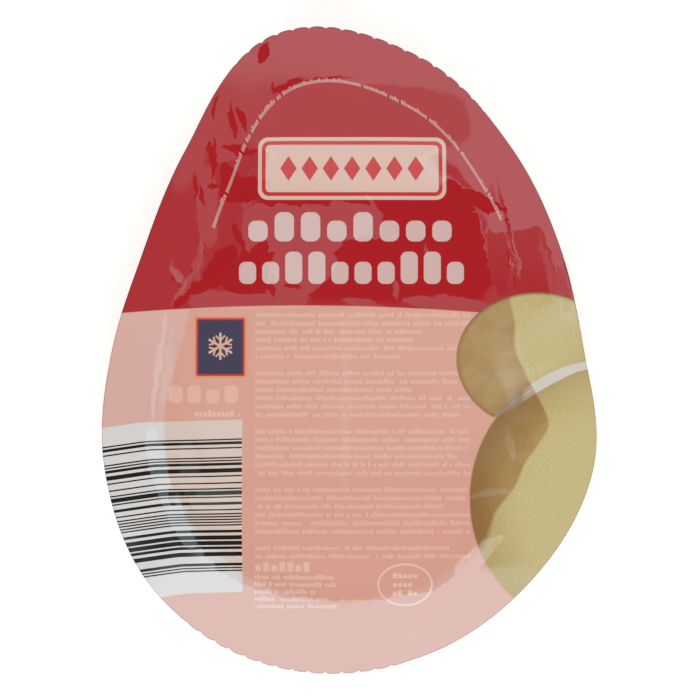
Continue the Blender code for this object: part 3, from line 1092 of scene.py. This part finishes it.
    def add_names(self, colour):
        """Two rows of rounded marks, and small print along the arc of the narrow end."""
        board = self.board
        arc_start, arc_end = np.interp(np.radians(ARC_ANGLES), FINE_ANGLES, FINE_LENGTHS) * 1000
        on_arc = board.join(self.along, self.inset * -1.0)
        width = float(arc_end - arc_start)
        arc = board.group(self.rows, on_arc, float(arc_start), ARC_TOP, width, *ARC_BLOCK)
        marks = arc * ARC_STRENGTH
        for row in NAME_ROWS:
            marks = marks.most(board.group(self.pills, self.flat, *row))
        return board.mix(marks, colour, self.inks["names"])

    def shaded_oval(self, point, middle, half, shades, strength):
        """An oval of pictured rind, lighter in its middle and darker at its edge."""
        board, inks = self.board, self.inks
        mask = board.group(self.oval, point, middle, half, OVAL_EDGE)
        reach = mask.other("Reach")
        colour = board.mix(board.step(reach, *shades[0]), inks["rind_light"], inks["rind"])
        colour = board.mix(board.step(reach, *shades[1]) * strength, colour, inks["rind_dark"])
        return mask, reach, colour

    def add_picture(self, colour, contact):
        """Picture of a tied cheese: head, trunk, string, grain and soft shading."""
        board, inks, x, y = self.board, self.inks, self.x, self.y
        head_y = y - (y - HEAD_MIDDLE[1]).least(0.0) * HEAD_STRETCH
        strength = contact * (1 - BARE_SHADE) + BARE_SHADE
        head, head_reach, head_colour = self.shaded_oval(
            board.join(x, head_y), HEAD_MIDDLE, HEAD_HALF, HEAD_SHADES, 1.0,
        )
        trunk, _, trunk_colour = self.shaded_oval(
            self.flat, TRUNK_MIDDLE, TRUNK_HALF, TRUNK_SHADES, strength,
        )
        held = (1.0 - (x - STRING_START[0]) / STRING_RUN).most(0.0)
        string_y = STRING_START[1] + STRING_RISE - held ** STRING_CURVE * STRING_RISE
        over_string = y - string_y
        upper = board.step(over_string, *STRING_SIDES)
        shade_share = board.step(abs(over_string), *NECK_SHADE) * strength
        cheese = board.mix(shade_share, board.mix(upper, trunk_colour, head_colour), inks["rind_dark"])
        speckle = board.step(board.clouds(self.flat, *GRAIN), *SPECKLE)
        cheese = board.mix(1.0, cheese, board.join(speckle, speckle, speckle), "MULTIPLY")
        picture = (head * upper).most(trunk * (1.0 - upper))
        colour = board.mix(picture, colour, cheese)
        head_line = board.step(head_reach, *HEAD_LINE) * board.step(y, *HEAD_LINE_Y)
        colour = board.mix(head_line * head, colour, inks["bar"])
        twist = board.calc("SINE", (x + y * TWIST_LEAN) * TWIST_PITCH)
        string = board.mix(
            board.step(twist, -1.0, 1.0, 0.0, TWIST_STRENGTH), inks["string"], inks["string_dark"],
        )
        string = board.mix(board.step(x, *STRING_SHADOW), string, inks["string_dark"])
        half = board.step(x, *STRING_THINS, STRING_HALF, STRING_END_HALF) * board.step(x, *STRING_TIP)
        on_string = board.step(abs(over_string) - half, *STRING_EDGE) * board.step(x, *STRING_CUT)
        return board.mix(on_string, colour, string), picture

    def add_warmth(self, colour, contact, red_mask, picture):
        """Warm tint where the cheese shows through the paler print, and stains over the picture."""
        board, inks = self.board, self.inks
        tinted = board.mix(1.0, colour, inks["tint"], "MULTIPLY")
        colour = board.mix(contact * (1.0 - red_mask) * (1.0 - picture), colour, tinted)
        stain = board.step(board.clouds(self.flat, *STAIN_CLOUDS), *STAIN)
        shaded = board.mix(1.0, colour, inks["picture_tint"], "MULTIPLY")
        return board.mix(contact * picture, colour, board.mix(stain, shaded, inks["stain"]))


# Materials


def new_material(name):
    material = bpy.data.materials.new(name)
    material.use_nodes = True
    return material, Board(material.node_tree), material.node_tree.nodes["Principled BSDF"]


def opaque(colour):
    return (*colour, 1.0)


def millimetre_point(board):
    """The object's own coordinates, in millimetres."""
    point = board.add("ShaderNodeTexCoord", {}, "Object")
    return board.add("ShaderNodeMapping", {"Vector": point, "Scale": (1000.0, 1000.0, 1000.0)})


def make_print_materials(settings, skin):
    """The printed face, and the same print seen from behind, paler."""
    inks = {name: opaque(getattr(settings, name)) for name in settings.ink_names()}
    print_tree = PackPrint(inks).build()
    facets = film_facets_group()
    made = []
    for name, from_behind in (("Printed film", False), ("Printed film from behind", True)):
        material, board, shader = new_material(name)
        point = millimetre_point(board)
        place = board.add("ShaderNodeAttribute", {}, "Vector", attribute_name="rim_place")
        colour = board.group(print_tree, point, place)
        height = board.group(skin, point, PRINT_SKIN_SIZE)
        faced = {}
        if from_behind:
            colour = board.mix(PALER_BEHIND, colour, inks["white"])
        else:
            surface = board.add("ShaderNodeNewGeometry", {}, "Normal")
            faced["Normal"] = board.group(facets, surface, point)
            shader.inputs["Specular Tint"].default_value = opaque(settings.sheen)
        board.feed(shader, {
            "Base Color": colour, "Roughness": height.other("Roughness change") + settings.roughness,
            "Normal": board.bump(height, 1.0, PRINT_SKIN_DEPTH, **faced), "IOR": FILM_IOR,
        })
        made.append(material)
    return made


def make_cheese_material(settings):
    """Golden smoked rind: mottled, darker in patches and towards its underside."""
    material, board, shader = new_material("Smoked rind")
    light, gold, brown = (opaque(ink) for ink in (settings.light, settings.gold, settings.brown))
    point = millimetre_point(board)
    _, _, z = board.split(point)
    broad = board.clouds(point, *BROAD_CLOUDS)
    patches = board.clouds(point, *BROWN_CLOUDS)
    fine = board.clouds(point, *PALE_CLOUDS)
    colour = board.mix(board.step(broad, *BROAD_PATCHES), light, gold)
    colour = board.mix(board.step(patches, *BROWN_PATCHES), colour, brown)
    colour = board.mix(board.step(z, *BROWN_UNDERSIDE), colour, brown)
    colour = board.mix(board.step(fine, *PALE_PATCHES), colour, light)
    board.feed(shader, {
        "Base Color": colour, "Roughness": board.step(patches, *RIND_ROUGHNESS),
        "Normal": board.bump(patches + fine * PALE_HEIGHT, *RIND_BUMP),
    })
    return material


def show_surface(board, surface):
    """Puts a shader on the material's surface."""
    board.feed(board.tree.nodes["Material Output"], {"Surface": surface})


def make_clear_material(settings, skin):
    """Clear drawn film: see-through, with bright reflections and a faint, uneven haze."""
    material, board, shader = new_material("Clear film")
    point = millimetre_point(board)
    normal = board.bump(board.group(skin, point, CLEAR_SKIN_SIZE), 1.0, CLEAR_SKIN_DEPTH)
    board.feed(shader, {
        "Base Color": opaque(settings.tone), "Roughness": settings.roughness, "Normal": normal,
    })
    inside = board.add("ShaderNodeNewGeometry", {}, "Backfacing")
    bending = board.calc("MULTIPLY_ADD", inside, 1 / FILM_IOR - FILM_IOR, FILM_IOR)
    mirrored = board.add("ShaderNodeFresnel", {"IOR": bending, "Normal": normal})
    clear = board.add("ShaderNodeBsdfTransparent", {"Color": CLEAR_TONE})
    gloss = board.add("ShaderNodeBsdfAnisotropic", {"Roughness": settings.roughness, "Normal": normal})
    glossy = board.add("ShaderNodeMixShader", {0: mirrored, 1: clear, 2: gloss})
    haze = board.step(board.clouds(point, *HAZE_CLOUDS), *HAZE)
    hazy = Field(board, shader.outputs[0])
    show_surface(board, board.add("ShaderNodeMixShader", {0: haze, 1: glossy, 2: hazy}))
    return material


def make_floor_material(colour):
    """Plain pale floor that shows from above only."""
    material, board, shader = new_material("Studio floor")
    board.feed(shader, {
        "Base Color": opaque(colour), "Roughness": FLOOR_ROUGHNESS, "Emission Color": (1.0, 1.0, 1.0, 1.0),
        "Emission Strength": FLOOR_GLOW,
    })
    below = board.add("ShaderNodeNewGeometry", {}, "Backfacing")
    clear = board.add("ShaderNodeBsdfTransparent", {})
    pale = Field(board, shader.outputs[0])
    show_surface(board, board.add("ShaderNodeMixShader", {0: below, 1: pale, 2: clear}))
    return material


# Settings


def ink_setting(name, description, *colour):
    return FloatVectorProperty(
        name=name, description=description, subtype="COLOR", size=3, default=colour, min=0, max=1,
    )


def length_setting(name, description, default, low, high):
    return FloatProperty(
        name=name, description=description, default=default, min=low, max=high, unit="LENGTH",
    )


def share_setting(name, description, default, low=0.0, high=1.0):
    return FloatProperty(
        name=name, description=description, default=default, min=low, max=high, subtype="FACTOR",
    )


def count_setting(name, description, default, low, high):
    return IntProperty(name=name, description=description, default=default, min=low, max=high)


def light_setting(name, description, default):
    return FloatProperty(name=name, description=description, default=default, min=0.0)


class PackFaceSettings(bpy.types.PropertyGroup):
    """Sizes and inks of the printed film"""

    thickness: length_setting("Film thickness", "Thickness of the printed film", 0.0003, 0.0001, 0.0008)
    crease_scale: share_setting("Crease height", "How high the creases stand", 1.0, 0.0, 2.0)
    points: count_setting("Edge points", "Points along the cut edge, four to a scallop", 432, 108, 864)
    rings: count_setting("Rings", "Rings from the cut edge to the middle", 100, 20, 200)
    rim_rings: share_setting("Rim share", "Share of the rings that lie on the rim", 0.20, 0.05, 0.5)
    roughness: share_setting("Gloss roughness", "Roughness of the printed film", 0.085)
    sheen: ink_setting("Sheen", "Colour of the film's reflections", 0.68, 0.94, 1.0)
    red: ink_setting("Red", "Red field", 0.400, 0.0080, 0.0115)
    red_deep: ink_setting("Deep red", "Darker parts of the red field", 0.375, 0.006, 0.009)
    pink: ink_setting("Pink", "Ground under the small print", 0.665, 0.400, 0.352)
    pink_deep: ink_setting("Deep pink", "Darker parts of the pink ground", 0.640, 0.375, 0.325)
    white: ink_setting("White", "Panel under the bars", 0.648, 0.618, 0.602)
    pale_ink: ink_setting("Pale ink", "Small print on the pink ground", 0.775, 0.600, 0.540)
    names: ink_setting("Names", "Rows in the red field", 0.605, 0.418, 0.385)
    cream: ink_setting("Cream", "Label and star", 0.660, 0.448, 0.374)
    bar: ink_setting("Bars", "Dark bars", 0.012, 0.009, 0.008)
    navy: ink_setting("Navy", "Small square", 0.045, 0.036, 0.090)
    label_red: ink_setting("Label red", "Brighter red in the label", 0.540, 0.030, 0.028)
    keyline: ink_setting("Keyline", "Frame round the small square", 0.66, 0.34, 0.19)
    rind: ink_setting("Pictured rind", "Cheese in the picture", 0.530, 0.418, 0.180)
    rind_light: ink_setting("Pictured rind, light", "Light side of that cheese", 0.572, 0.478, 0.232)
    rind_dark: ink_setting("Pictured rind, dark", "Shaded edge of that cheese", 0.350, 0.225, 0.080)
    string: ink_setting("Pictured string", "String in the picture", 0.615, 0.575, 0.500)
    string_dark: ink_setting("Pictured string, dark", "Shaded string and its twist", 0.345, 0.285, 0.215)
    tint: ink_setting("Tint over cheese", "How the cheese colours the pale print", 1.0, 0.850, 0.755)
    picture_tint: ink_setting(
        "Picture over cheese", "How the cheese colours the picture", 0.775, 0.605, 0.510,
    )
    stain: ink_setting("Stain", "Browner patches of the picture over the cheese", 0.30, 0.155, 0.040)

    def ink_names(self):
        """Names of the print's inks, which are all the colours but the sheen."""
        kinds = self.bl_rna.properties.items()
        return [name for name, kind in kinds if getattr(kind, "array_length", 0) == 3 and name != "sheen"]


class PackCheeseSettings(bpy.types.PropertyGroup):
    """Sizes and colours of the cheese"""

    gap: length_setting("Gap", "Distance between the cheese and the films", 0.0007, 0.0002, 0.003)
    segments: count_setting("Segments", "Points round the cheese", 216, 48, 432)
    rings: count_setting("Rings", "Rings from its top to its bottom", 120, 24, 300)
    gold: ink_setting("Gold", "Main colour of the smoked rind", 0.58, 0.33, 0.095)
    light: ink_setting("Light", "Paler parts of the rind", 0.72, 0.50, 0.21)
    brown: ink_setting("Brown", "More strongly smoked parts", 0.38, 0.17, 0.04)


class PackClearSettings(bpy.types.PropertyGroup):
    """Sizes and finish of the clear drawn film"""

    thickness: length_setting("Film thickness", "Thickness of the clear film", 0.00018, 0.0001, 0.0006)
    rings: count_setting("Rings", "Rings from the cut edge to the middle of the belly", 90, 30, 200)
    pleats: length_setting("Pleat depth", "Depth of the small pleats below the rim", 0.00028, 0.0, 0.001)
    tone: ink_setting("Tone", "Colour of its haze", 0.90, 0.88, 0.84)
    roughness: share_setting("Gloss roughness", "Roughness of the clear film", 0.10)


class PackStageSettings(bpy.types.PropertyGroup):
    """Camera, lights and floor"""

    lens: FloatProperty(name="Lens", description="Focal length in millimetres", default=LENS, min=20.0)
    view_width: length_setting("View width", "Width that the camera sees at the rim", VIEW_WIDTH, 0.05, 1.0)
    main_light: light_setting("Main softbox", "Power of the softbox over the narrow end", 16.2)
    low_light: light_setting("Second softbox", "Power of the softbox over the wide end", 10.9)
    side_light: light_setting("Side light", "Strength of the soft light from each side", 0.41)
    world_light: light_setting("Surroundings", "Brightness of the surroundings", 0.2)
    floor: ink_setting("Floor", "Colour of the floor", 0.93, 0.93, 0.93)


# Steps


class PACK_OT_stage(bpy.types.Operator):
    """Adds the camera, the soft lights and the pale floor"""

    bl_idname = "cheese_pack.stage"
    bl_label = "Stage"

    def execute(self, context):
        settings = context.scene.pack_stage
        deselect_all()
        distance = settings.view_width * settings.lens / SENSOR
        bpy.ops.object.camera_add(location=(*PHOTO_MIDDLE, RIM_HEIGHT + distance), rotation=(0, 0, 0))
        camera = context.object
        camera.name = "Photo camera"
        camera.data.lens = settings.lens
        camera.data.sensor_width = SENSOR
        camera.data.clip_start = CAMERA_CLIP
        context.scene.camera = camera
        main = self.add_softbox("Main softbox", MAIN_NEAR_Y, MAIN_FAR_Y, MAIN_WIDTH, settings.main_light)
        self.grade_main(main)
        self.add_softbox("Second softbox", LOW_NEAR_Y, LOW_FAR_Y, LOW_WIDTH, settings.low_light)
        for name, side in (("Left light", 1), ("Right light", -1)):
            place = (-side * SIDE_PLACE[0], 0, SIDE_PLACE[1])
            turn = (0, side * -math.radians(SIDE_TILT), 0)
            bpy.ops.object.light_add(type="SUN", location=place, rotation=turn)
            sun = context.object
            sun.name = name
            sun.data.energy = settings.side_light
            sun.data.angle = math.radians(SIDE_SPREAD)
        world = bpy.data.worlds.new("Studio")
        world.use_nodes = True
        backdrop = world.node_tree.nodes["Background"]
        backdrop.inputs["Color"].default_value = (1, 1, 1, 1)
        backdrop.inputs["Strength"].default_value = settings.world_light
        context.scene.world = world
        context.scene.view_settings.view_transform = "Standard"
        bpy.ops.mesh.primitive_plane_add(size=FLOOR_SIZE, location=(0, 0, 0))
        floor = context.object
        floor.name = floor.data.name = "studio_floor"
        floor.data.materials.append(make_floor_material(settings.floor))
        return {"FINISHED"}

    def add_softbox(self, name, near_y, far_y, width, power):
        """A level softbox between two places along Y, that the camera itself doesn't see."""
        place = (0, (near_y + far_y) / 2, SOFTBOX_HEIGHT)
        bpy.ops.object.light_add(type="AREA", location=place, rotation=(0, 0, 0))
        lamp = bpy.context.object
        lamp.name = name
        lamp.data.shape = "RECTANGLE"
        lamp.data.size = width
        lamp.data.size_y = abs(far_y - near_y)
        lamp.data.energy = power
        lamp.visible_camera = False
        return lamp

    def grade_main(self, lamp):
        """Gives the main softbox its levels of brightness."""
        lamp.data.use_nodes = True
        board = Board(lamp.data.node_tree)
        x, y, _ = board.split(board.add("ShaderNodeNewGeometry", {}, "Position"))
        soft = board.step(y + x.least(0.0) * LEFTWARD, *SOFT_START, 0.0, SOFT_GAIN)
        right = board.step(x, *RIGHT_START) * board.step(y, *RIGHT_NEAR_Y)
        bright = board.step(y, *FAR_START).most(right) * BRIGHT_GAIN
        inner = board.step(abs(x), *SIDE_END, 1.0, 0.0)
        board.feed(board.tree.nodes["Emission"], {"Strength": (soft + bright) * inner + DIM_LEVEL})


class PACK_OT_printed_face(bpy.types.Operator):
    """Models the printed film with its welded rim, its creases and its print"""

    bl_idname = "cheese_pack.printed_face"
    bl_label = "Printed film"

    def execute(self, context):
        settings = context.scene.pack_face
        film = add_disc("printed_face", settings.points, settings.rings)
        plain = read_places(film)
        radius, turns = np.hypot(plain[:, 0], plain[:, 1]), read_turns(plain)
        rim_start = 1 - settings.rim_rings
        on_rim = radius > rim_start
        shares = np.where(on_rim, 1 + (radius - rim_start) / settings.rim_rings, radius / rim_start)
        x, y = pack_points(turns, shares)
        lay_places(film, x, y, face_height(x, y, turns, shares, settings.crease_scale))
        inset = np.where(on_rim, (2 - shares) * RIM_WIDTH, RIM_WIDTH + (1 - shares) * BODY_REACH)
        rim_place = film.data.attributes.new("rim_place", "FLOAT_VECTOR", "POINT")
        along = turns * EDGE_LENGTH * 1000
        rim_place.data.foreach_set("vector", np.column_stack((along, inset * 1000, shares)).ravel())
        face_outwards(film)
        for material in make_print_materials(settings, film_skin_group()):
            film.data.materials.append(material)
        add_wall(film, settings.thickness, inner_material=1)
        shade(film, FILM_SHARP)
        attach(film, "root")
        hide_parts("printed_film")
        return {"FINISHED"}


class PACK_OT_cheese(bpy.types.Operator):
    """Models the smoked cheese: its body, its small head and the neck between them"""

    bl_idname = "cheese_pack.cheese"
    bl_label = "Smoked cheese"

    def execute(self, context):
        settings = context.scene.pack_cheese
        face = context.scene.pack_face
        deselect_all()
        bpy.ops.mesh.primitive_uv_sphere_add(segments=settings.segments, ring_count=settings.rings,
                                             radius=1.0, location=(0, 0, 0))
        cheese = context.object
        cheese.name = cheese.data.name = "scamorza"
        plain = read_places(cheese)
        turns = read_turns(plain)
        down = np.arccos(np.clip(plain[:, 2], -1, 1)) / math.pi
        gap = settings.gap
        shrink = 1 - gap / CHEESE_HALF_WIDTH
        top = under_face(turns, np.clip(down / SIDE_START, 0.0, 1.0) * shrink, face, gap)
        quarter = np.clip((down - SIDE_START) / (SPOT_START - SIDE_START), 0.0, 1.0)
        low_x, low_y, sink = belly_point(shrink, turns, quarter)
        _, _, rim_z = under_face(turns, np.full_like(turns, shrink), face, gap)
        low_z = rim_z + (2 * gap - rim_z) * sink / BODY_DEPTH
        spot = np.clip((down - SPOT_START) / (1 - SPOT_START), 0.0, 1.0)
        low = (*to_middle(low_x, low_y, spot), low_z)
        lay_places(cheese, *(np.where(down < SIDE_START, *pair) for pair in zip(top, low)))
        edit_all(cheese, bpy.ops.mesh.normals_make_consistent, inside=False)
        cheese.data.materials.append(make_cheese_material(settings))
        shade(cheese, CHEESE_SHARP)
        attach(cheese, "root")
        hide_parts("wrapped_cheese")
        return {"FINISHED"}


class PACK_OT_clear_film(bpy.types.Operator):
    """Models the clear film, drawn over the cheese's belly and welded under the rim"""

    bl_idname = "cheese_pack.clear_film"
    bl_label = "Clear drawn film"

    def execute(self, context):
        settings = context.scene.pack_clear
        face = context.scene.pack_face
        film = add_disc("clear_film", face.points, settings.rings)
        plain = read_places(film)
        radius, turns = np.hypot(plain[:, 0], plain[:, 1]), read_turns(plain)
        on_rim = radius > CLEAR_RIM_RADIUS
        shares = np.where(on_rim, 1 + (radius - CLEAR_RIM_RADIUS) / (1 - CLEAR_RIM_RADIUS), 1.0)
        rim = under_face(turns, shares, face, WELD_GAP)
        _, _, line_z = under_face(turns, np.ones_like(turns), face, WELD_GAP)
        quarter = np.clip((CLEAR_RIM_RADIUS - radius) / (CLEAR_RIM_RADIUS - CLEAR_SPOT_RADIUS), 0.0, 1.0)
        x, y, sink = belly_point(1.0, turns, quarter)
        z = line_z + (settings.thickness - line_z) * sink / BODY_DEPTH
        x, y = to_middle(x, y, np.clip(1 - radius / CLEAR_SPOT_RADIUS, 0.0, 1.0))
        outward = settings.pleats * self.pleats(turns, quarter)
        length = np.hypot(x - BODY_MIDDLE[0], y - BODY_MIDDLE[1]) + 1e-9
        x, y = to_middle(x, y, -outward / length)
        lay_places(film, *(np.where(on_rim, *pair) for pair in zip(rim, (x, y, z))))
        face_outwards(film, up=False)
        film.data.materials.append(make_clear_material(settings, bpy.data.node_groups["Film skin"]))
        add_wall(film, settings.thickness)
        shade(film, FILM_SHARP)
        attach(film, "root")
        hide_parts("wrapped_cheese")
        return {"FINISHED"}

    def pleats(self, turns, quarter):
        """Share of the pleats' depth: uneven small pleats that die away down the side."""
        angles = turns * math.tau
        place = turns * PLEATS + sum(shift * np.sin(angles * waves) for shift, waves in PLEAT_SHIFTS)
        strength = smooth(0.0, PLEAT_START, quarter) * (1 - smooth(*PLEAT_FADE, quarter))
        swell = 0.5 + 0.5 * np.sin(angles * PLEAT_SWELLS + 1.0)
        return np.maximum(0.0, np.sin(place * math.tau)) * strength * swell


class PACK_PT_sidebar(bpy.types.Panel):
    """Lists the steps that build the pack"""

    bl_idname = "PACK_PT_sidebar"
    bl_label = "Cheese Pack"
    bl_space_type = "VIEW_3D"
    bl_region_type = "UI"
    bl_category = "Cheese Pack"

    def draw(self, context):
        layout = self.layout
        for step, settings in STEPS:
            layout.operator(step.bl_idname)
            group = getattr(context.scene, settings)
            for name in group.bl_rna.properties.keys():
                if name not in ("rna_type", "name"):
                    layout.prop(group, name)


STEPS = (
    (PACK_OT_stage, "pack_stage"),
    (PACK_OT_printed_face, "pack_face"),
    (PACK_OT_cheese, "pack_cheese"),
    (PACK_OT_clear_film, "pack_clear"),
)
SETTINGS = (
    (PackFaceSettings, "pack_face"),
    (PackCheeseSettings, "pack_cheese"),
    (PackClearSettings, "pack_clear"),
    (PackStageSettings, "pack_stage"),
)


def register():
    for group, name in SETTINGS:
        bpy.utils.register_class(group)
        setattr(bpy.types.Scene, name, PointerProperty(type=group))
    for step, _ in STEPS:
        bpy.utils.register_class(step)
    bpy.utils.register_class(PACK_PT_sidebar)


def unregister():
    bpy.utils.unregister_class(PACK_PT_sidebar)
    for step, _ in reversed(STEPS):
        bpy.utils.unregister_class(step)
    for group, name in reversed(SETTINGS):
        delattr(bpy.types.Scene, name)
        bpy.utils.unregister_class(group)


def main():
    register()
    bpy.ops.cheese_pack.stage()
    bpy.ops.cheese_pack.printed_face()
    bpy.ops.cheese_pack.cheese()
    bpy.ops.cheese_pack.clear_film()
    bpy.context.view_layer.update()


if __name__ == "__main__":
    main()
